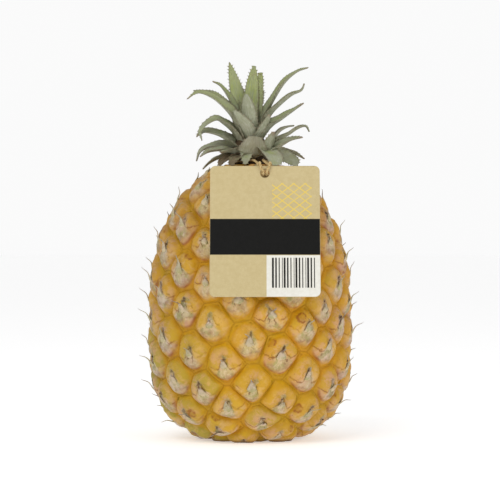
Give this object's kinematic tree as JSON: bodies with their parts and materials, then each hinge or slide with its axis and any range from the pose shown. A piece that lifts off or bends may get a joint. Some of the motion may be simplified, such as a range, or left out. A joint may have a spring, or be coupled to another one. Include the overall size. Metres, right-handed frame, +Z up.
{
  "type": "pineapple",
  "caption": "Ripe golden pineapple that stands on its cut base, with raised eyes and bract spines, a short toothed leaf crown, and a blank card tag tied round the neck.",
  "frame": {"origin": "centre of the cut stalk, on the surface the fruit stands on", "axes": "+Z up along the fruit's axis to the crown, -Y to the side the tag hangs on, +X to the right when the tag is seen from in front"},
  "size_m": [0.1298, 0.1296, 0.219],
  "materials": {
    "rind": "satin",
    "leaf": "satin",
    "stalk": "rough",
    "card": "satin",
    "cord": "matte"
  },
  "bodies": {
    "root": {"fruit": "rind", "crown": "leaf", "stem_stub": "stalk", "tag": "card", "tag_tie": "cord"}
  },
  "joints": []
}
